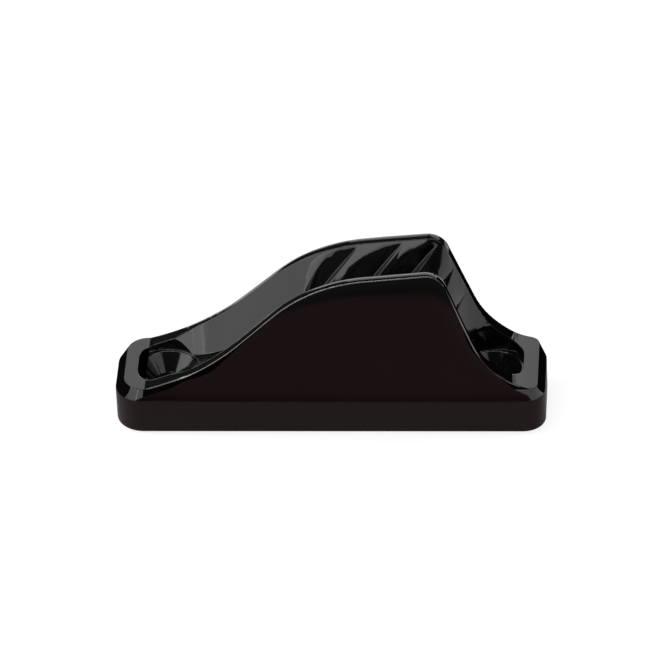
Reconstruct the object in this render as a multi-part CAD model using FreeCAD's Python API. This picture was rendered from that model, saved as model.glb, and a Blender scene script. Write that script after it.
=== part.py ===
"""Open jam cleat for 3 to 6 mm line, moulded in one piece. Millimetres, +Z up, the origin at the middle of the
base's underside. -X is the low end where the loaded line enters, +X the steep end where the tail leaves."""
import FreeCAD, Part
import math
import os
from FreeCAD import Vector

# Base
length = 66.0
base_width = 14.7
base_height = 5.8
front_corner_r = 4.4
back_corner_r = 3.5
base_foot_r = 0.4
base_shoulder_r = 0.3

# Flat lands at both ends, above the bevelled edge of the base
land_height = 7.7
side_land_inset = 0.65
land_half_width = base_width / 2 - side_land_inset
front_land_inset = 1.4
back_land_inset = 1.15
front_land_corner_r = 3.2
back_land_corner_r = 1.3

# Rims in side view: the straight stretches, and the arcs that join them
crest_height = 28.2
front_land_end_x = -28.2
toe_slope = 16.8
ramp_slope = 42.8
brow_x = -2.2
crest_slope = 5.6
nose_x = 17.4
back_slope = 69.0
back_knee_x = 23.5
back_foot_x = 29.3
toe_r = 38.0
brow_r = 24.0
nose_r = 3.2
back_knee_r = 14.0
back_foot_r = 8.2

# Rims in cross section
rim_draft = 0.062
rim_width = 1.0
rim_band = 0.4
inner_edge_r = 0.4

# Side walls, set in above the base and hollowed out under the rims
ledge = 0.75
wall_draft = 5.2
cove_r = 6.0
cove_steps = 4
panel_front_x = -30.4
panel_back_x = 31.4
panel_front_slope = 28.0
panel_back_slope = 15.0
panel_corner_r = 4.0

# Groove for the line
valley_crest_z = 21.5
valley_brow_x = 2.0
valley_brow_drop = 1.2
valley_front_x = -19.6
valley_back_x = 21.6
valley_half_width = 0.6
valley_end_half_width = 3.2
valley_flare_power = 4
valley_r = 12.0
groove_stations = 26

# Teeth on both flanks of the groove
first_tooth_x = 5.2
front_tooth_gap = 6.85
middle_tooth_gap = 5.35
back_tooth_gap = 5.0
tooth_gaps = (0, front_tooth_gap, middle_tooth_gap, back_tooth_gap, back_tooth_gap)
crest_tooth_angle = 49.0
back_tooth_angle = 61.0
tooth_angles = (crest_tooth_angle,) * 3 + (back_tooth_angle,) * 2
crest_tooth_opening = 48.0
back_tooth_opening = 35.0
tooth_openings = (crest_tooth_opening,) * 3 + (back_tooth_opening,) * 2
tooth_inset = 0.6
scoop_r = 32.0
scoop_outline_r = 11.2
step_angle = 60.0

# Screw pockets and holes
hole_pitch = 50.0
hole_r = 2.15
head_r = 4.3
countersink_angle = 82.0
pocket_depth = 0.8
pocket_half_width = 4.65
pocket_end = 4.6
pocket_corner_r = 3.0
pocket_flare = 0.2

# Cells that lighten the underside
core_count = 6
core_length = 5.0
core_rib = 1.4
core_spine = 1.6
core_wall = 1.9
core_ceiling = 2.2
core_corner_r = 0.8
core_draft = 1.0

# How far cutting shapes reach past the part, the finest size that counts, the steps to measure along a rim and over
# a flank, and the share of a straight line that the arc at each end may take
over = 2.0
fine = 0.001
rim_steps = 4001
flank_step = 0.1
arc_share = 0.49


def room(line, next_radius):
    """Length of a straight line that an arc at one end may take, given the radius at its other end."""
    share = arc_share if next_radius > 0 else 2 * arc_share
    return share * line.Length


def rounded_path(corners, radii):
    """Straight lines through the corners in the XZ plane, joined by tangent arcs of the given radii."""
    edges = []
    start = corners[0]
    for i in range(1, len(corners) - 1):
        back = corners[i - 1] - corners[i]
        ahead = corners[i + 1] - corners[i]
        half = back.getAngle(ahead) / 2
        if radii[i] <= 0:
            edges.append(Part.LineSegment(start, corners[i]).toShape())
            start = corners[i]
            continue
        reach = min(radii[i] / math.tan(half), room(back, radii[i - 1]), room(ahead, radii[i + 1]))
        radius = reach * math.tan(half)
        back.normalize()
        ahead.normalize()
        middle = (back + ahead).normalize()
        first = corners[i] + back * reach
        top = corners[i] + middle * (radius / math.sin(half) - radius)
        last = corners[i] + ahead * reach
        edges.append(Part.LineSegment(start, first).toShape())
        edges.append(Part.Arc(first, top, last).toShape())
        start = last
    edges.append(Part.LineSegment(start, corners[-1]).toShape())
    return edges


def meet(first, first_slope, second, second_slope):
    """Point where two straight lines of the side view cross, each given by a point and a slope in degrees."""
    a = math.tan(math.radians(first_slope))
    b = math.tan(math.radians(second_slope))
    x = (second.z - first.z + a * first.x - b * second.x) / (a - b)
    return Vector(x, 0, first.z + a * (x - first.x))


def rim_corners():
    """Corners of the rims' side view, from the low end over the crest to the steep end, with their radii."""
    turn = math.radians(crest_slope + back_slope)
    nose_z = (crest_height + nose_r * math.tan(turn / 2) * math.sin(math.radians(crest_slope))
              - nose_r * (1 - math.cos(math.radians(crest_slope))))
    nose = Vector(nose_x, 0, nose_z)
    land_end = Vector(front_land_end_x, 0, land_height)
    brow = Vector(brow_x, 0, nose_z - (nose_x - brow_x) * math.tan(math.radians(crest_slope)))
    foot = meet(land_end, toe_slope, brow, ramp_slope)
    back_knee = Vector(back_knee_x, 0, nose_z - (back_knee_x - nose_x) * math.tan(math.radians(back_slope)))
    back_foot = Vector(back_foot_x, 0, land_height)
    corners = [Vector(-length, 0, land_height), land_end, foot, brow, nose, back_knee, back_foot,
               Vector(length, 0, land_height)]
    return corners, [0, 0, toe_r, brow_r, nose_r, back_knee_r, back_foot_r, 0]


def height_at(path, x):
    """Height of a side-view path above the base at one place along the cleat."""
    upright = Part.makeLine(Vector(x, 0, -over), Vector(x, 0, 3 * crest_height))
    return path.distToShape(upright)[1][0][0].z


def outline(half_width, front_x, back_x, front_r, back_r, z):
    """Rectangle with rounded corners at one height, as a wire of four lines and four arcs."""
    corners = [(front_x, -half_width, front_r, -1, -1), (back_x, -half_width, back_r, 1, -1),
               (back_x, half_width, back_r, 1, 1), (front_x, half_width, front_r, -1, 1)]
    edges = []
    ends = []
    for x, y, r, sx, sy in corners:
        centre = Vector(x - sx * r, y - sy * r, z)
        on_end = centre + Vector(sx * r, 0, 0)
        on_side = centre + Vector(0, sy * r, 0)
        middle = centre + Vector(sx * r, sy * r, 0) * math.sqrt(0.5)
        pair = (on_end, middle, on_side) if sx * sy > 0 else (on_side, middle, on_end)
        ends.append(pair)
    for i in range(4):
        start = ends[i][2]
        end = ends[(i + 1) % 4][0]
        edges.append(Part.Arc(*ends[i]).toShape())
        if start.distanceToPoint(end) > fine:
            edges.append(Part.LineSegment(start, end).toShape())
    return Part.Wire(edges)


def level_edges(shape, z):
    """Edges of a shape that lie level at one height."""
    return [edge for edge in shape.Edges if abs(edge.BoundBox.ZMin - z) < fine and edge.BoundBox.ZLength < fine]


def rim_half_width(z):
    """Distance from the middle plane to the outer edge of a rim at one height."""
    return land_half_width - rim_draft * (z - land_height)


def blank():
    """Base, bevelled edge and the drafted block that the rims are cut from."""
    foot = outline(base_width / 2, -length / 2, length / 2, front_corner_r, back_corner_r, 0)
    shoulder = foot.translated(Vector(0, 0, base_height))
    front_x = -length / 2 + front_land_inset
    back_x = length / 2 - back_land_inset
    land = outline(land_half_width, front_x, back_x, front_land_corner_r, back_land_corner_r, land_height)
    top_z = crest_height + over
    top = outline(rim_half_width(top_z), front_x, back_x, front_land_corner_r, back_land_corner_r, top_z)
    base = Part.Face(foot).extrude(Vector(0, 0, base_height))
    bevel = Part.makeLoft([shoulder, land], True, True)
    block = Part.makeLoft([land, top], True, True)
    whole = base.fuse([bevel, block]).removeSplitter()
    whole = whole.makeFillet(base_foot_r, level_edges(whole, 0))
    return whole.makeFillet(base_shoulder_r, level_edges(whole, base_height))


def above_rims():
    """Everything above the rims' side view."""
    corners, radii = rim_corners()
    edges = rounded_path(corners, radii)
    sky = 2 * crest_height
    edges.append(Part.LineSegment(Vector(length, 0, land_height), Vector(length, 0, sky)).toShape())
    edges.append(Part.LineSegment(Vector(length, 0, sky), Vector(-length, 0, sky)).toShape())
    edges.append(Part.LineSegment(Vector(-length, 0, sky), Vector(-length, 0, land_height)).toShape())
    face = Part.Face(Part.Wire(edges))
    face.translate(Vector(0, -base_width, 0))
    return face.extrude(Vector(0, 2 * base_width, 0))


def valley_corners():
    """Corners of the groove's bottom in side view, with their radii."""
    low = land_height - pocket_depth
    corners = [Vector(-length, 0, low), Vector(valley_front_x, 0, low),
               Vector(valley_brow_x, 0, valley_crest_z - valley_brow_drop),
               Vector(nose_x - nose_r / 2, 0, valley_crest_z), Vector(valley_back_x, 0, low),
               Vector(length, 0, low)]
    return corners, [0, valley_r, valley_r, nose_r, nose_r, 0]


def valley_path():
    """Bottom of the groove in side view, as one wire."""
    return Part.Wire(rounded_path(*valley_corners()))


def rim_path():
    """Top of the rims in side view, as one wire."""
    return Part.Wire(rounded_path(*rim_corners()))


def groove_section(x, rims, valley):
    """Half width and height at the groove's bottom and at its rims, at one place along the cleat."""
    rim_z = height_at(rims, x)
    valley_z = height_at(valley, x)
    inward = hole_pitch / 2 - abs(x)
    mouth = min(rim_half_width(rim_z) - rim_width, pocket_half_width + pocket_flare * inward)
    low = land_height - pocket_depth
    rise = (valley_z - low) / (valley_crest_z - low)
    bottom = valley_half_width + (valley_end_half_width - valley_half_width) * (1 - rise) ** valley_flare_power
    return bottom, valley_z, mouth, rim_z


def groove(rims, valley):
    """Cutting shape of the groove: a V that stands open above the rims, lofted through stations."""
    wires = []
    for i in range(groove_stations):
        x = hole_pitch * (i / (groove_stations - 1) - 1 / 2)
        bottom, valley_z, mouth, rim_z = groove_section(x, rims, valley)
        top_z = rim_z + over
        top = mouth + (mouth - bottom) * over / (rim_z - valley_z)
        points = [Vector(x, -bottom, valley_z), Vector(x, bottom, valley_z), Vector(x, top, top_z),
                  Vector(x, -top, top_z)]
        wires.append(Part.makePolygon(points + points[:1]))
    return Part.makeLoft(wires, True, False)


def pockets():
    """End of the groove at each screw: a straight-walled recess, a countersink and the hole."""
    low = land_height - pocket_depth
    depth = (head_r - hole_r) / math.tan(math.radians(countersink_angle / 2))
    shapes = []
    for side in (-1, 1):
        x = side * hole_pitch / 2
        far = x + side * pocket_end
        near = x - side * pocket_half_width
        ends = sorted([(far, pocket_corner_r), (near, pocket_half_width)])
        floor = outline(pocket_half_width, ends[0][0], ends[1][0], ends[0][1], ends[1][1], low)
        shapes.append(Part.Face(floor).extrude(Vector(0, 0, crest_height)))
        shapes.append(Part.makeCone(hole_r, head_r, depth, Vector(x, 0, low - depth)))
        shapes.append(Part.makeCylinder(hole_r, low, Vector(x, 0, -over)))
    return shapes


def wall_half_width(z):
    """Distance from the middle plane to a side wall at one height."""
    return base_width / 2 - ledge - math.tan(math.radians(wall_draft)) * (z - base_height)


def cove_reach(depth):
    """How far up its wall the hollow under a rim starts, for one overhang of the rim."""
    return math.sqrt(cove_r ** 2 - (cove_r - depth) ** 2)


def shifted(lines, distances):
    """Corners between neighbouring straight lines of the side view, each line first moved down by a distance."""
    moved = []
    for (point, slope), distance in zip(lines, distances):
        a = math.radians(slope)
        moved.append((point + Vector(math.sin(a), 0, -math.cos(a)) * distance, slope))
    return [meet(*moved[i], *moved[i + 1]) for i in range(len(moved) - 1)]


def side_cut():
    """Cutting shape of one side wall: a drafted panel with a round hollow along its upper edge."""
    rims = rim_corners()[0]
    rim_slopes = [toe_slope, ramp_slope, crest_slope, -back_slope]
    lines = [(rims[i + 1], slope) for i, slope in enumerate(rim_slopes)]
    knee, foot = rims[len(lines) + 1:len(lines) + 3]
    low_slope = -math.degrees(math.atan2(knee.z - foot.z, foot.x - knee.x))
    lines.append((foot, low_slope))
    heights = [(rims[i + 1].z + rims[i + 2].z) / 2 for i in range(len(lines))]
    insets = [rim_band + cove_reach(rim_half_width(z) - wall_half_width(z)) for z in heights]
    lines.insert(0, (Vector(panel_front_x, 0, base_height), panel_front_slope))
    lines.append((Vector(panel_back_x, 0, base_height), -panel_back_slope))
    insets = [cove_reach(ledge)] + insets + [cove_reach(ledge)]
    turns = [(panel_corner_r, 1), (toe_r, -1), (brow_r, 1), (nose_r, 1), (back_knee_r, -1), (panel_corner_r, -1)]
    deepest = rim_half_width(crest_height) - wall_half_width(crest_height) + ledge / 2
    wires = []
    for step in range(cove_steps + 1):
        angle = math.acos(1 - deepest / cove_r) * step / cove_steps
        out = cove_r * (1 - math.cos(angle))
        reach = cove_r * math.sin(angle)
        insets_here = [inset - reach for inset in insets]
        corners = shifted(lines, insets_here)
        radii = [max(r - turn * inset, inner_edge_r + reach if turn > 0 else inner_edge_r)
                 for (r, turn), inset in zip(turns, insets_here[1:])]
        low = base_height - over
        first = meet(corners[0], panel_front_slope, Vector(0, 0, low), 0)
        last = meet(corners[-1], -panel_back_slope, Vector(0, 0, low), 0)
        edges = rounded_path([first] + corners + [last], [0] + radii + [0])
        edges.append(Part.LineSegment(last, first).toShape())
        wire = Part.Wire(edges)
        wire.translate(Vector(0, -out, -base_height))
        wires.append(wire)
    shape = Part.makeLoft(wires, True, False)
    slab = Part.Face(wires[-1]).extrude(Vector(0, -base_width, 0))
    shape = shape.fuse(slab)
    shape.rotate(Vector(0, 0, 0), Vector(1, 0, 0), -wall_draft)
    shape.translate(Vector(0, -base_width / 2 + ledge, base_height))
    base = Part.makeBox(2 * length, 2 * base_width, base_height, Vector(-length, -base_width, 0))
    return shape.cut(base)


def above_valley():
    """Everything above the groove's bottom on the +Y side of the middle plane."""
    corners, radii = valley_corners()
    edges = rounded_path(corners, radii)
    sky = 2 * crest_height
    edges.append(Part.LineSegment(corners[-1], Vector(length, 0, sky)).toShape())
    edges.append(Part.LineSegment(Vector(length, 0, sky), Vector(-length, 0, sky)).toShape())
    edges.append(Part.LineSegment(Vector(-length, 0, sky), corners[0]).toShape())
    return Part.Face(Part.Wire(edges)).extrude(Vector(0, base_width, 0))


def flank_point(x, z, rims, valley):
    """Point on the +Y flank of the groove."""
    bottom, valley_z, mouth, rim_z = groove_section(x, rims, valley)
    return Vector(x, bottom + (z - valley_z) * (mouth - bottom) / (rim_z - valley_z), z)


def flank_normal(x, z, rims, valley):
    """Direction square to the +Y flank at one place, pointing into the groove."""
    here = flank_point(x, z, rims, valley)
    along = flank_point(x + flank_step, z, rims, valley) - here
    up = flank_point(x, z + flank_step, rims, valley) - here
    normal = along.cross(up)
    return (normal if normal.y < 0 else -normal).normalize()


def tooth_tips(rims):
    """Places of the teeth's tips in side view, measured along the rims from the first one."""
    points = rims.discretize(Number=rim_steps)
    spacing = rims.Length / (rim_steps - 1)
    place = min(range(rim_steps), key=lambda i: abs(points[i].x - first_tooth_x)) * spacing
    tips = []
    for gap in tooth_gaps:
        place += gap
        tips.append(points[round(place / spacing)])
    return tips


def scoop(tip, angle, opening, rims, valley, space):
    """Hollow ahead of one tooth: part of a sphere that ends in a straight step up to the tooth's land. Its round
    outline on the flank leaves the tooth's tip at the opening angle."""
    a = math.radians(angle)
    down = scoop_outline_r * math.sin(math.radians(opening))
    aside = scoop_outline_r * math.cos(math.radians(opening))
    rib = Vector(-math.cos(a), 0, -math.sin(a))
    high = tip + rib * tooth_inset
    start = flank_point(high.x, high.z, rims, valley)
    middle = tip + rib * down / 2
    normal = flank_normal(middle.x, middle.z, rims, valley)
    rib.y = -(normal.x * rib.x + normal.z * rib.z) / normal.y
    rib.normalize()
    across = normal.cross(rib)
    if across.x < 0:
        across = -across
    rise = math.sqrt(scoop_r ** 2 - scoop_outline_r ** 2)
    ball = Part.makeSphere(scoop_r, start + rib * down + across * aside + normal * rise)
    s = math.radians(step_angle)
    facing = normal * math.cos(s) - across * math.sin(s)
    keep = Part.makeBox(2 * scoop_r, 2 * scoop_r, scoop_r, Vector(-scoop_r, -scoop_r, 0))
    keep.Placement = FreeCAD.Placement(start, FreeCAD.Rotation(Vector(0, 0, 1), facing)).multiply(keep.Placement)
    return ball.common(space).common(keep)


def cells():
    """Blind cells in the underside, two rows of them, that stop below the groove."""
    valley = valley_path()
    pitch = core_length + core_rib
    inner = core_spine / 2
    outer = wall_half_width(base_height) - core_wall
    half = (outer - inner) / 2
    shapes = []
    for i in range(core_count):
        middle = (i - (core_count - 1) / 2) * pitch
        front = middle - core_length / 2
        back = middle + core_length / 2
        top = min(height_at(valley, front), height_at(valley, back)) - core_ceiling
        lean = top * math.tan(math.radians(core_draft))
        low = outline(half, front, back, core_corner_r, core_corner_r, 0)
        high = outline(half - lean, front + lean, back - lean, core_corner_r, core_corner_r, top)
        cell = Part.makeLoft([low, high], True, True)
        for side in (-1, 1):
            shapes.append(cell.translated(Vector(0, side * (inner + half), 0)))
    return shapes


rims = rim_path()
valley = valley_path()
space = above_valley()
side_shapes = [side_cut()]
for tip, angle, opening in zip(tooth_tips(rims), tooth_angles, tooth_openings):
    side_shapes.append(scoop(tip, angle, opening, rims, valley, space))
side_shapes += [shape.mirror(Vector(0, 0, 0), Vector(0, 1, 0)) for shape in side_shapes]
body = blank().cut(above_rims())
body = body.cut([groove(rims, valley)] + pockets() + side_shapes)
body = body.cut(cells())

os.makedirs("parts", exist_ok=True)
body.exportStep("parts/cleat_body.step")
print("valid", body.isValid(), "volume", round(body.Volume, 1), "faces", len(body.Faces), "solids", len(body.Solids))
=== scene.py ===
import math

import bmesh
import bpy
from bpy.props import FloatProperty, FloatVectorProperty, PointerProperty
from bpy.types import Operator, Panel, PropertyGroup
from mathutils import Matrix, Vector


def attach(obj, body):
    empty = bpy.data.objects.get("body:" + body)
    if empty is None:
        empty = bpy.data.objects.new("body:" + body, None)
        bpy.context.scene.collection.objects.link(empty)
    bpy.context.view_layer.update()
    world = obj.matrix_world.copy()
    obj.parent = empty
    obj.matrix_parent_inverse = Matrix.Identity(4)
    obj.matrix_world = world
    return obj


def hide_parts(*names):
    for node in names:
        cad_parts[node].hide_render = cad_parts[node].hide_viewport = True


bl_info = {
    "name": "Jam Cleat",
    "version": (1, 0, 0),
    "blender": (4, 5, 0),
    "location": "View3D > Sidebar > Jam Cleat",
    "description": "Finishes the moulded jam cleat and lights it in a small studio",
    "category": "Object",
}

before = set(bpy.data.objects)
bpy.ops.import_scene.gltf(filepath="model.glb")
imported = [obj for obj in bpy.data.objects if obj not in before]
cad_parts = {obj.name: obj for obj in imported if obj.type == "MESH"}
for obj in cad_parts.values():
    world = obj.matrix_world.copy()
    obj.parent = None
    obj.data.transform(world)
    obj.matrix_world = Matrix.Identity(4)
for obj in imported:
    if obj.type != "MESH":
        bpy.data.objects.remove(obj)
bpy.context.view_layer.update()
BODY_NODE = "cleat_body"

# Places on the CAD body, in metres: a height just above the base's, the outside of the rims at the crest as a half
# width and a height, how fast they widen downwards, how far their bands reach, how near the middle their tops come
# as a whole and on the steep end, where the end bevels begin, the screw pockets' reach, and what counts as touching
BASE_TOP = 0.00585
CREST_RIM = 0.00546, 0.02763
RIM_DRAFT = 0.062
BAND_END = 0.0285
TOP_INSIDE = 0.0035
STEEP_INSIDE = 0.0038
END_BEVEL = 0.0306
POCKET = 0.0312, 0.0046
NEAR = 0.00002

# Height at which the shaping of the rims starts, and length and height over which it and the lean grow to full
LIP_START = 0.0084
LIP_RAMP = 0.0020
LEAN_START = -0.009
LEAN_RAMP = 0.010

# Slots of the finishes, among them a darker black without reflection that paints shade and a more reflecting gloss
# on the lips that paints a highlight, and marks of the faces on the rims' bands
GLOSS, WALL, BASE, PAINTED_SHADE_BLACK, LIP = range(5)
UPPER, LOWER = 1, 2

# Angles in degrees at which flat neighbours merge and up to which the shading runs on
MERGE_ANGLE = 0.4
SMOOTH_ANGLE = 28

# Nylon's refractive index, size of its colour clouds, height of its grain and share of its colour left where shade
# is painted in under the rims
NYLON_IOR = 1.53
CLOUD_SCALE = 90.0
GRAIN_HEIGHT = 0.0001
PAINTED_SHADE_SHARE = 0.08

# How far the measure of height and downward turn under the rims runs from no painted shade to full painted shade
PAINTED_SHADE_RANGE = 0.05, 0.32

# Lamps' distance, the floor's size and its gap below the base, and the point that the camera looks at, in metres
LAMP_DISTANCE = 1.6
LAMP_CENTER = 0.01
FLOOR_SIZE = 12
FLOOR_GAP = 0.00002
CAMERA_AIM = 0.000481, 0, 0.013568

# Name, azimuth, elevation, width and height in degrees, and brightness of each softbox
LAMPS = (
    ("front softbox", 193, 24, 29, 26, 2.3),
    ("front skirt", 196, 4, 36, 14, 1.5),
    ("left softbox", 250, 31, 72, 17, 2.4),
    ("left skirt", 246, 11, 76, 24, 1.6),
    ("left high strip", 279, 49, 14, 24, 7.5),
    ("right softbox", 112, 39, 66, 22, 1.0),
    ("back softbox", 14, 35, 56, 24, 1.3),
    ("back low softbox", 5, 14, 60, 17, 1.9),
    ("overhead strip", 0, 86, 60, 14, 7.0),
)


# Sizes and colours

class CleatSettings(PropertyGroup):
    """Edges and colours of the moulded body."""

    edge_radius: FloatProperty(
        name="Edge radius", description="Rounding of the moulded edges",
        default=0.00022, min=0.00005, max=0.0006, precision=5, subtype='DISTANCE', unit='LENGTH')
    gloss_color: FloatVectorProperty(
        name="Gloss black", description="Colour of the polished faces in and around the groove",
        default=(0.0035, 0.0030, 0.0027), size=3, min=0, max=1, subtype='COLOR')
    wall_color: FloatVectorProperty(
        name="Wall black", description="Colour of the side walls",
        default=(0.0104, 0.0050, 0.0049), size=3, min=0, max=1, subtype='COLOR')
    base_color: FloatVectorProperty(
        name="Base black", description="Colour of the base's sides and the underside",
        default=(0.0096, 0.0044, 0.0043), size=3, min=0, max=1, subtype='COLOR')
    edge_swell: FloatProperty(
        name="Edge swell", description="How far each rim's outer top edge stands out",
        default=0.0001, min=0, max=0.0003, precision=5, subtype='DISTANCE', unit='LENGTH')
    bead_swell: FloatProperty(
        name="Bead swell", description="How far the bead below each rim's outer top edge stands out",
        default=0.00032, min=0, max=0.0004, precision=5, subtype='DISTANCE', unit='LENGTH')
    bead_height: FloatProperty(
        name="Bead height", description="How far below each rim's top the bead stands out most",
        default=0.00018, min=0.0001, max=0.0006, precision=5, subtype='DISTANCE', unit='LENGTH')
    shoulder_width: FloatProperty(
        name="Shoulder width", description="How far in from its outer edge each rim's top slopes outwards",
        default=0.0004, min=0.0001, max=0.0006, precision=5, subtype='DISTANCE', unit='LENGTH')
    shoulder_drop: FloatProperty(
        name="Shoulder drop", description="How much the shoulder of each rim's top falls",
        default=0.00008, min=0, max=0.0003, precision=5, subtype='DISTANCE', unit='LENGTH')
    top_drop: FloatProperty(
        name="Top drop", description="How much lower each rim's top is at the groove than outside",
        default=0.0002, min=0, max=0.0004, precision=5, subtype='DISTANCE', unit='LENGTH')


class StudioSettings(PropertyGroup):
    """Floor, lamps and camera."""

    floor_color: FloatVectorProperty(
        name="Floor", description="Colour of the floor",
        default=(0.22, 0.22, 0.22), size=3, min=0, max=1, subtype='COLOR')
    floor_white: FloatProperty(
        name="Floor white", description="Added brightness of the floor as the camera and reflections see it",
        default=0.8, min=0, max=1)
    world_color: FloatVectorProperty(
        name="Surroundings", description="Colour of the room round the stage",
        default=(0.02, 0.02, 0.02), size=3, min=0, max=1, subtype='COLOR')
    turn: FloatProperty(
        name="Turn", description="Camera's turn round the cleat",
        default=math.radians(4.437), subtype='ANGLE')
    rise: FloatProperty(
        name="Rise", description="Camera's height angle above the floor",
        default=math.radians(36.004), subtype='ANGLE')
    roll: FloatProperty(
        name="Roll", description="Camera's roll about its own axis",
        default=math.radians(-2.623), subtype='ANGLE')
    distance: FloatProperty(
        name="Distance", description="Camera's distance from the point it looks at",
        default=1.0238, subtype='DISTANCE', unit='LENGTH')
    lens: FloatProperty(
        name="Lens", description="Focal length in millimetres on a 36 mm wide sensor",
        default=362.6, min=20, max=1000)


# Materials

def new_group(name, inputs, outputs):
    """Shader node group with named number inputs, and outputs of the given socket types."""
    group = bpy.data.node_groups.new(name, "ShaderNodeTree")
    for label, value in inputs:
        socket = group.interface.new_socket(label, in_out='INPUT', socket_type='NodeSocketFloat')
        socket.default_value = value
    for label, kind in outputs:
        group.interface.new_socket(label, in_out='OUTPUT', socket_type=kind)
    return group


def rounded_edge_group():
    """Normal that turns smoothly across each edge of the moulding, as over a small radius."""
    group = new_group("Rounded edge", [("Radius", 0.0003)], [("Normal", 'NodeSocketVector')])
    given = group.nodes.new("NodeGroupInput")
    result = group.nodes.new("NodeGroupOutput")
    edge = group.nodes.new("ShaderNodeBevel")
    edge.samples = 16
    group.links.new(given.outputs["Radius"], edge.inputs["Radius"])
    group.links.new(edge.outputs["Normal"], result.inputs["Normal"])
    return group


def moulded_surface_group():
    """Slow waves of a polished mould, fine grain of the plastic, and the roughness that goes with them."""
    group = new_group("Moulded surface",
                      [("Wave scale", 160.0), ("Grain scale", 3200.0), ("Grain share", 0.3),
                       ("Roughness low", 0.08), ("Roughness high", 0.16)],
                      [("Height", 'NodeSocketFloat'), ("Roughness", 'NodeSocketFloat')])
    nodes, links = group.nodes, group.links
    given = nodes.new("NodeGroupInput")
    result = nodes.new("NodeGroupOutput")
    place = nodes.new("ShaderNodeTexCoord")
    wave = nodes.new("ShaderNodeTexNoise")
    wave.inputs["Detail"].default_value = 1.5
    grain = nodes.new("ShaderNodeTexNoise")
    grain.inputs["Detail"].default_value = 3.0
    height = nodes.new("ShaderNodeMix")
    spread = nodes.new("ShaderNodeMapRange")
    links.new(place.outputs["Object"], wave.inputs["Vector"])
    links.new(place.outputs["Object"], grain.inputs["Vector"])
    links.new(given.outputs["Wave scale"], wave.inputs["Scale"])
    links.new(given.outputs["Grain scale"], grain.inputs["Scale"])
    links.new(given.outputs["Grain share"], height.inputs["Factor"])
    links.new(wave.outputs["Fac"], height.inputs["A"])
    links.new(grain.outputs["Fac"], height.inputs["B"])
    links.new(grain.outputs["Fac"], spread.inputs["Value"])
    links.new(given.outputs["Roughness low"], spread.inputs["To Min"])
    links.new(given.outputs["Roughness high"], spread.inputs["To Max"])
    links.new(height.outputs["Result"], result.inputs["Height"])
    links.new(spread.outputs["Result"], result.inputs["Roughness"])
    return group


def hollow_group():
    """Painted shade under the rim: how much of it a point gets, from 0 to 1, more where the surface turns down and
    is high up.
    """
    group = new_group("Painted shade under rims", [("Height", 0.0208), ("Fall", 75.0)], [("Depth", 'NodeSocketFloat')])
    nodes, links = group.nodes, group.links
    given = nodes.new("NodeGroupInput")
    result = nodes.new("NodeGroupOutput")
    place = nodes.new("ShaderNodeTexCoord")
    normal = nodes.new("ShaderNodeSeparateXYZ")
    point = nodes.new("ShaderNodeSeparateXYZ")
    above, scaled, turned = (nodes.new("ShaderNodeMath") for _ in range(3))
    above.operation, scaled.operation, turned.operation = 'SUBTRACT', 'MULTIPLY', 'SUBTRACT'
    depth = nodes.new("ShaderNodeMapRange")
    depth.interpolation_type = 'SMOOTHSTEP'
    depth.inputs["From Min"].default_value, depth.inputs["From Max"].default_value = PAINTED_SHADE_RANGE
    links.new(place.outputs["Normal"], normal.inputs["Vector"])
    links.new(place.outputs["Object"], point.inputs["Vector"])
    links.new(point.outputs["Z"], above.inputs[0])
    links.new(given.outputs["Height"], above.inputs[1])
    links.new(above.outputs["Value"], scaled.inputs[0])
    links.new(given.outputs["Fall"], scaled.inputs[1])
    links.new(scaled.outputs["Value"], turned.inputs[0])
    links.new(normal.outputs["Z"], turned.inputs[1])
    links.new(turned.outputs["Value"], depth.inputs["Value"])
    links.new(depth.outputs["Result"], result.inputs["Depth"])
    return group


def black_nylon(groups, radius, name, color, lighter, specular, waves, bump):
    """Black moulded nylon: slightly uneven colour up to the lighter share, darkened by painted shade under the rims,
    the moulded surface with the given waves and bump strength, and edges rounded by the radius."""
    material = bpy.data.materials.new(name)
    material.use_nodes = True
    nodes, links = material.node_tree.nodes, material.node_tree.links
    shader = nodes["Principled BSDF"]
    shader.inputs["Specular IOR Level"].default_value = specular
    shader.inputs["IOR"].default_value = NYLON_IOR
    texture = nodes.new("ShaderNodeGroup")
    texture.node_tree = groups["surface"]
    for label, value in waves.items():
        texture.inputs[label].default_value = value
    place = nodes.new("ShaderNodeTexCoord")
    cloud = nodes.new("ShaderNodeTexNoise")
    cloud.inputs["Scale"].default_value = CLOUD_SCALE
    tint = nodes.new("ShaderNodeMix")
    tint.data_type = 'RGBA'
    tint.inputs["A"].default_value = (*color, 1)
    tint.inputs["B"].default_value = (*[c * lighter for c in color], 1)
    hollow = nodes.new("ShaderNodeGroup")
    hollow.node_tree = groups["hollow"]
    # Painted shade: the colour is darkened under the rims, where the surface turns down high up
    shade_mix = nodes.new("ShaderNodeMix")
    shade_mix.data_type = 'RGBA'
    shade_mix.inputs["B"].default_value = (*[c * PAINTED_SHADE_SHARE for c in color], 1)
    relief = nodes.new("ShaderNodeBump")
    relief.inputs["Strength"].default_value = bump
    relief.inputs["Distance"].default_value = GRAIN_HEIGHT
    edge = nodes.new("ShaderNodeGroup")
    edge.node_tree = groups["edge"]
    edge.inputs["Radius"].default_value = radius
    links.new(edge.outputs["Normal"], relief.inputs["Normal"])
    links.new(place.outputs["Object"], cloud.inputs["Vector"])
    links.new(cloud.outputs["Fac"], tint.inputs["Factor"])
    links.new(tint.outputs["Result"], shade_mix.inputs["A"])
    links.new(hollow.outputs["Depth"], shade_mix.inputs["Factor"])
    links.new(shade_mix.outputs["Result"], shader.inputs["Base Color"])
    links.new(texture.outputs["Roughness"], shader.inputs["Roughness"])
    links.new(texture.outputs["Height"], relief.inputs["Height"])
    links.new(relief.outputs["Normal"], shader.inputs["Normal"])
    return material


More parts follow.
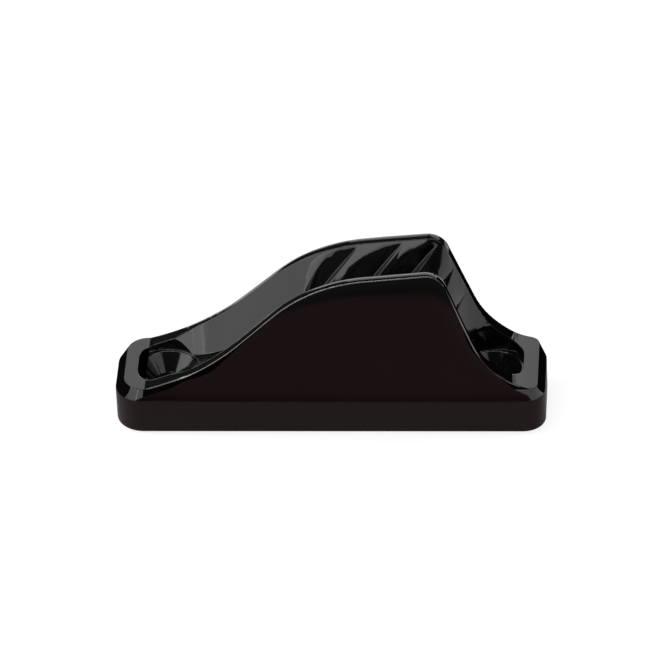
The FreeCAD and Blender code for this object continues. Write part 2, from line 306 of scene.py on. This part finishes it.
def nylon_finishes(settings):
    """The body's finishes in the order of their slots."""
    groups = {"surface": moulded_surface_group(), "edge": rounded_edge_group(), "hollow": hollow_group()}
    polished = {"Wave scale": 140.0, "Grain scale": 2600.0, "Grain share": 0.15,
                "Roughness low": 0.07, "Roughness high": 0.12}
    grained = {"Wave scale": 400.0, "Grain scale": 5200.0, "Grain share": 0.7,
               "Roughness low": 0.42, "Roughness high": 0.56}
    gloss = settings.gloss_color
    # Painted shade: the gloss black darkened and without reflection, for the end bevels, the steep rim tops and the
    # lower bands
    painted_shade_black = [c * 0.6 for c in gloss]
    finishes = (("Gloss nylon", gloss, 1.6, 0.5, polished, 0.06),
                ("Wall nylon", settings.wall_color, 1.3, 0.03, grained, 0.3),
                ("Base nylon", settings.base_color, 1.3, 0.08, grained, 0.3),
                ("Painted shade nylon", painted_shade_black, 1.3, 0.0, grained, 0.1),
                # Painted highlight: the gloss with twice its reflection, on the band above the bead
                ("Lip highlight nylon", gloss, 1.6, 1.0, polished, 0.0))
    return [black_nylon(groups, settings.edge_radius, *finish) for finish in finishes]


def floor_material(color, white):
    """Grey floor with the object's shadow, which the camera and reflections see as white."""
    material = bpy.data.materials.new("Floor")
    material.use_nodes = True
    nodes, links = material.node_tree.nodes, material.node_tree.links
    shader = nodes["Principled BSDF"]
    shader.inputs["Base Color"].default_value = (*color, 1)
    shader.inputs["Roughness"].default_value = 0.9
    shader.inputs["Emission Color"].default_value = (1, 1, 1, 1)
    path = nodes.new("ShaderNodeLightPath")
    seen = nodes.new("ShaderNodeMath")
    seen.operation = 'MAXIMUM'
    clear = nodes.new("ShaderNodeMath")
    clear.operation = 'MAXIMUM'
    level = nodes.new("ShaderNodeMath")
    level.operation = 'MULTIPLY'
    level.inputs[1].default_value = white
    links.new(path.outputs["Is Camera Ray"], seen.inputs[0])
    links.new(path.outputs["Is Glossy Ray"], seen.inputs[1])
    links.new(seen.outputs["Value"], clear.inputs[0])
    links.new(path.outputs["Is Transmission Ray"], clear.inputs[1])
    links.new(clear.outputs["Value"], level.inputs[0])
    links.new(level.outputs["Value"], shader.inputs["Emission Strength"])
    return material


# The moulded body

def copy_of_node(name, node):
    """Selected and active copy of a CAD node with a mesh of its own, its loose triangles merged."""
    bpy.ops.object.select_all(action='DESELECT')
    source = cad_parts[node]
    piece = bpy.data.objects.new(name, source.data.copy())
    bpy.context.scene.collection.objects.link(piece)
    piece.data.materials.clear()
    piece.select_set(True)
    bpy.context.view_layer.objects.active = piece
    bpy.ops.object.mode_set(mode='EDIT')
    bpy.ops.mesh.select_all(action='SELECT')
    bpy.ops.mesh.customdata_custom_splitnormals_clear()
    bpy.ops.mesh.remove_doubles(threshold=0.000002)
    bpy.ops.mesh.dissolve_limited(angle_limit=math.radians(MERGE_ANGLE))
    bpy.ops.object.mode_set(mode='OBJECT')
    return piece


def on_band(face):
    """Whether a face lies on the narrow upright band along the outside of a rim."""
    center, normal = face.calc_center_median(), face.normal
    plane = CREST_RIM[0] + RIM_DRAFT * (CREST_RIM[1] - center.z)
    return (abs(abs(center.y) - plane) < NEAR and abs(normal.z - RIM_DRAFT) < 0.02
            and abs(center.x) < BAND_END and normal.y * center.y > 0 and center.z > LIP_START)


def rise_of(vertex):
    """Share of the rims' shaping at a vertex, from 0 at the lands to 1 a little way up."""
    rise = min(max((vertex.co.z - LIP_START) / LIP_RAMP, 0), 1)
    return rise * rise * (3 - 2 * rise)


def is_top(face):
    """Whether a face is part of a rim's top."""
    return abs(face.normal.y) < 0.05 and face.normal.z > 0.2 and abs(face.calc_center_median().y) > TOP_INSIDE


def split_lengthwise(mesh, faces, crown, width):
    """Triangulate the faces of a strip along the crown edge and divide them lengthwise, at the given width
    from the crown. Gives back the places of the new vertices."""
    faces = bmesh.ops.triangulate(mesh, faces=faces)["faces"]
    across = {edge for face in faces for edge in face.edges if len(crown & set(edge.verts)) == 1}
    places = {}
    for edge in across:
        high, low = sorted(edge.verts, key=lambda vertex: vertex not in crown)
        along = [other.other_vert(high).co - high.co for other in high.link_edges
                 if other.other_vert(high) in crown]
        span = low.co - high.co
        reach = span.cross(along[0].normalized()).length if along else span.length
        places[high.co.lerp(low.co, 0.5).to_tuple(7)] = high.co.lerp(low.co, min(width / reach, 0.7))
    bmesh.ops.subdivide_edges(mesh, edges=list(across), cuts=1)
    for vertex in mesh.verts:
        vertex.co = places.get(vertex.co.to_tuple(7), vertex.co)
    return {place.to_tuple(7) for place in places.values()}


def borders_band(face):
    """Whether a face has an edge in common with a rim's outer band."""
    return any(on_band(other) for edge in face.edges for other in edge.link_faces)


def crown_of(mesh):
    """Vertices of the rims' outer top edges."""
    return {vertex for vertex in mesh.verts if any(is_top(face) for face in vertex.link_faces)
            and any(on_band(face) for face in vertex.link_faces)}


def lean_tops(mesh, settings):
    """Lower the inner edge of each rim's top along the groove's flank, so that the crest's top leans inwards."""
    for vertex in mesh.verts:
        tops = [face.normal for face in vertex.link_faces if is_top(face)]
        side = math.copysign(1, vertex.co.y)
        flanks = [face.normal for face in vertex.link_faces if face.normal.y * side < -0.3]
        share = min(max((vertex.co.x - LEAN_START) / LEAN_RAMP, 0), 1)
        depth = settings.top_drop * share * rise_of(vertex)
        if tops and flanks and depth:
            top = sum(tops, Vector()).normalized()
            flank = sum(flanks, Vector()).normalized()
            inwards = min(max(flank.dot(top) / (-flank.y * side), 0), 1.5)
            vertex.co -= top * depth
            vertex.co.y -= side * inwards * depth


def swell_lips(mesh, marks, settings):
    """Round the outer edge of each rim: a sloping shoulder on its top and a bead on the band below it. The
    band's faces above the bead are marked upper and those below it lower."""
    split_lengthwise(mesh, [face for face in mesh.faces if is_top(face) and borders_band(face)],
                     crown_of(mesh), settings.shoulder_width)
    beads = split_lengthwise(mesh, [face for face in mesh.faces if on_band(face)],
                             crown_of(mesh), settings.bead_height)
    crown = crown_of(mesh)
    for vertex in mesh.verts:
        if vertex.co.to_tuple(7) in beads:
            for face in vertex.link_faces:
                if abs(face.normal.y) > 0.7:
                    face[marks] = UPPER if crown & set(face.verts) else LOWER
            vertex.co.y += math.copysign(settings.bead_swell * rise_of(vertex), vertex.co.y)
    for vertex in crown:
        top = sum((face.normal for face in vertex.link_faces if is_top(face)), Vector()).normalized()
        vertex.co -= top * settings.shoulder_drop * rise_of(vertex)
        vertex.co.y += math.copysign(settings.edge_swell * rise_of(vertex), vertex.co.y)


def shape_rims(piece, settings):
    """Round the rims' outer edges and lean their tops inwards."""
    mesh = bmesh.new()
    mesh.from_mesh(piece.data)
    marks = mesh.faces.layers.int.new("band")
    swell_lips(mesh, marks, settings)
    lean_tops(mesh, settings)
    mesh.to_mesh(piece.data)
    mesh.free()


def finish_of(face, band):
    """Slot of a face's finish. The base's sides with the underside, the side walls and the lips have their own, the
    lips a gloss that reflects more and paints a highlight; the bevels of the base's ends and the rims' ends with the
    lower part of their bands get a darker black without reflection that paints shade; and the rest is gloss."""
    center, normal = face.center, face.normal
    if center.z < BASE_TOP:
        in_pocket = abs(center.x) < POCKET[0] and abs(center.y) < POCKET[1] and normal.z > -0.5
        return GLOSS if in_pocket else BASE
    steep_top = normal.x > 0.5 and normal.z > 0.2 and abs(normal.y) < 0.25 and abs(center.y) > STEEP_INSIDE
    end_bevel = abs(center.x) > END_BEVEL and 0.3 < normal.z < 0.9 and abs(normal.x) > 0.8 * abs(normal.y)
    # Painted shade on the band under the bead, the steep rim tops and the end bevels
    if band == LOWER or steep_top or end_bevel:
        return PAINTED_SHADE_BLACK
    # Painted highlight on the band above the bead
    if band == UPPER:
        return LIP
    outward = normal.y * (1 if center.y > 0 else -1)
    return WALL if outward > 0.5 and abs(center.x) < END_BEVEL and normal.z < 0.2 else GLOSS


class JAMCLEAT_OT_body(Operator):
    """Shape the edges of the cleat's rims and give the body its finishes"""
    bl_idname = "jamcleat.body"
    bl_label = "Moulded Body"

    def execute(self, context):
        """Copy the CAD node, shape its rims and assign a material to each face."""
        settings = context.scene.jamcleat
        piece = copy_of_node("moulded_body", BODY_NODE)
        shape_rims(piece, settings)
        for material in nylon_finishes(settings):
            piece.data.materials.append(material)
        bpy.ops.object.shade_smooth_by_angle(angle=math.radians(SMOOTH_ANGLE))
        bands = piece.data.attributes["band"].data
        for face in piece.data.polygons:
            face.material_index = finish_of(face, bands[face.index].value)
        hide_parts(BODY_NODE)
        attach(piece, "root")
        return {'FINISHED'}


# Floor, lamps and camera

def camera_axes(turn, rise, roll):
    """Right, up and forward directions of the camera."""
    right = Vector((math.cos(turn), math.sin(turn), 0))
    ahead = Vector((-math.sin(turn) * math.cos(rise), math.cos(turn) * math.cos(rise), -math.sin(rise)))
    up = right.cross(ahead)
    return (math.cos(roll) * right + math.sin(roll) * up,
            math.cos(roll) * up - math.sin(roll) * right, ahead)


def add_lamp(name, azimuth, elevation, wide, high, radiance):
    """Softbox that faces the cleat. Its place and size are angles in degrees as the cleat sees them, azimuth 0
    behind it, 90 on its right and 180 in front; its power follows from its size and brightness."""
    turn, rise = math.radians(azimuth), math.radians(elevation)
    aim = Vector((math.sin(turn) * math.cos(rise), math.cos(turn) * math.cos(rise), math.sin(rise)))
    data = bpy.data.lights.new(name, 'AREA')
    data.shape = 'RECTANGLE'
    data.size = 2 * LAMP_DISTANCE * math.tan(math.radians(wide / 2))
    data.size_y = 2 * LAMP_DISTANCE * math.tan(math.radians(high / 2))
    data.energy = radiance * data.size * data.size_y * math.pi
    lamp = bpy.data.objects.new(name, data)
    bpy.context.scene.collection.objects.link(lamp)
    lamp.location = aim * LAMP_DISTANCE + Vector((0, 0, LAMP_CENTER))
    lamp.rotation_euler = aim.to_track_quat('Z', 'Y').to_euler()


class JAMCLEAT_OT_stage(Operator):
    """Add the floor, the softboxes, the surroundings and the camera"""
    bl_idname = "jamcleat.stage"
    bl_label = "Studio"

    def execute(self, context):
        """Make the floor and the lamps, then the camera at the photograph's viewing angle."""
        settings = context.scene.jamcleat_studio
        bpy.ops.object.select_all(action='DESELECT')
        bpy.ops.mesh.primitive_plane_add(size=FLOOR_SIZE, location=(0, 0, -FLOOR_GAP))
        floor = context.object
        floor.name = "floor"
        floor.data.materials.append(floor_material(settings.floor_color, settings.floor_white))
        world = bpy.data.worlds.new("Studio")
        world.use_nodes = True
        world.node_tree.nodes["Background"].inputs["Color"].default_value = (*settings.world_color, 1)
        context.scene.world = world
        for lamp in LAMPS:
            add_lamp(*lamp)
        data = bpy.data.cameras.new("camera")
        data.sensor_width = 36
        data.lens = settings.lens
        data.clip_start = 0.01
        camera = bpy.data.objects.new("camera", data)
        context.scene.collection.objects.link(camera)
        right, up, ahead = camera_axes(settings.turn, settings.rise, settings.roll)
        place = Matrix((right, up, -ahead)).transposed().to_4x4()
        place.translation = Vector(CAMERA_AIM) - settings.distance * ahead
        camera.matrix_world = place
        context.scene.camera = camera
        context.scene.view_settings.view_transform = 'Standard'
        return {'FINISHED'}


# Sidebar and start

class JAMCLEAT_PT_sidebar(Panel):
    """Buttons and values of the jam cleat"""
    bl_label = "Jam Cleat"
    bl_idname = "JAMCLEAT_PT_sidebar"
    bl_space_type = 'VIEW_3D'
    bl_region_type = 'UI'
    bl_category = "Jam Cleat"

    def draw(self, context):
        """List the settings and the operators."""
        layout = self.layout
        for group in (context.scene.jamcleat, context.scene.jamcleat_studio):
            column = layout.column()
            for name in group.__annotations__:
                column.prop(group, name)
        layout.operator(JAMCLEAT_OT_body.bl_idname)
        layout.operator(JAMCLEAT_OT_stage.bl_idname)


CLASSES = (CleatSettings, StudioSettings, JAMCLEAT_OT_body, JAMCLEAT_OT_stage, JAMCLEAT_PT_sidebar)


def register():
    """Register the classes and hang the settings on the scene."""
    for cls in CLASSES:
        bpy.utils.register_class(cls)
    bpy.types.Scene.jamcleat = PointerProperty(type=CleatSettings)
    bpy.types.Scene.jamcleat_studio = PointerProperty(type=StudioSettings)


def unregister():
    """Take the settings off the scene and unregister the classes."""
    del bpy.types.Scene.jamcleat
    del bpy.types.Scene.jamcleat_studio
    for cls in reversed(CLASSES):
        bpy.utils.unregister_class(cls)


def main():
    """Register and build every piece."""
    register()
    bpy.ops.jamcleat.body()
    bpy.ops.jamcleat.stage()


if __name__ == "__main__":
    main()
